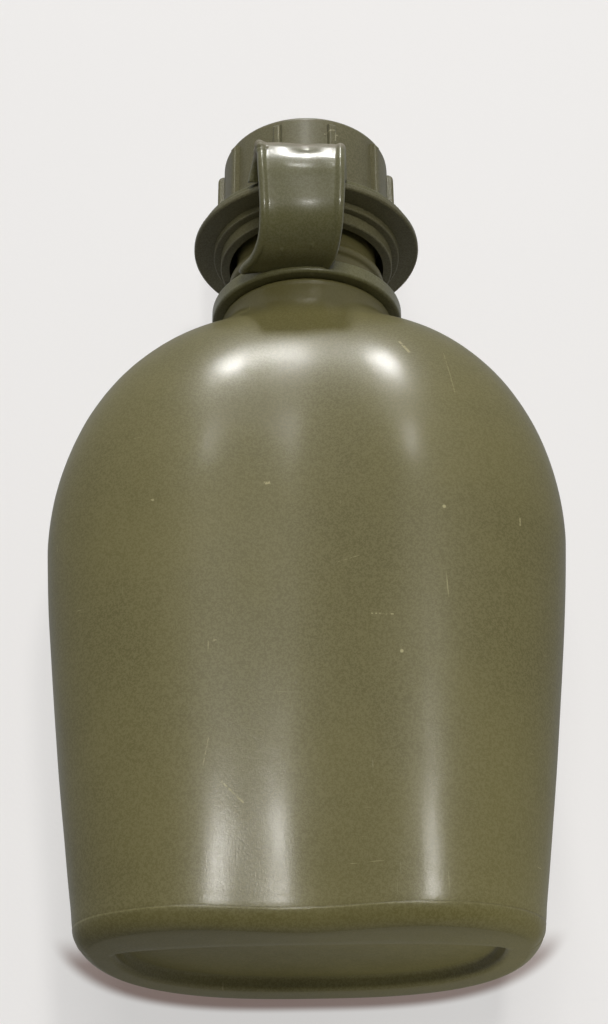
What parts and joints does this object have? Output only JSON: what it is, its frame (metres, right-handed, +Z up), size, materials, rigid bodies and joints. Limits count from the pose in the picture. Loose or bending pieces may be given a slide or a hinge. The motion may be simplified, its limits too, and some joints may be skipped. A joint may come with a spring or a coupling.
{
  "type": "canteen",
  "caption": "Moulded plastic canteen with a kidney-shaped bottle, a threaded neck, a ribbed screw cap with a wide flange, and a strap that keeps the cap.",
  "frame": {"origin": "on the neck's axis, at the plane of the rim that the bottle stands on", "axes": "+Z up along the neck; -Y is the hollow side that lies against the hip and carries the strap's loop, +Y the convex outer side; +X across the width"},
  "size_m": [0.12, 0.0773, 0.216],
  "materials": {
    "bottle_plastic": "satin olive drab polyethylene with fine grain",
    "cap_plastic": "satin olive green, moulded",
    "gasket_rubber": "matt black",
    "strap_plastic": "flexible, slightly glossy olive green"
  },
  "bodies": {
    "bottle": {"bottle": "bottle_plastic"},
    "cap_seal": {"cap_gasket": "gasket_rubber"},
    "cap": {"cap": "cap_plastic"},
    "strap": {"strap_neck_ring": "strap_plastic", "strap_band": "strap_plastic"},
    "strap_end": {"strap_cap_ring": "strap_plastic"}
  },
  "joints": [
    {"name": "cap_lift", "type": "slide", "parent": "bottle", "child": "cap_seal", "axis": [0, 0, 1], "range_m": [0, 0.0125]},
    {"name": "cap_turn", "type": "hinge", "parent": "cap_seal", "child": "cap", "pos_m": [0, 0, 0.2], "axis": [0, 0, 1], "range_deg": [0, 900]},
    {"name": "strap_swivel", "type": "hinge", "parent": "bottle", "child": "strap", "pos_m": [0, 0, 0.1662], "axis": [0, 0, 1], "continuous": true},
    {"name": "strap_lift", "type": "slide", "parent": "strap", "child": "strap_end", "axis": [0, 0, 1], "range_m": [0, 0.0125], "deforming": ["strap_band"]}
  ],
  "couplings": [
    {"joint": "cap_lift", "follows": "cap_turn", "m_per_rad": 0.00079577},
    {"joint": "strap_lift", "follows": "cap_turn", "m_per_rad": 0.00079577}
  ]
}
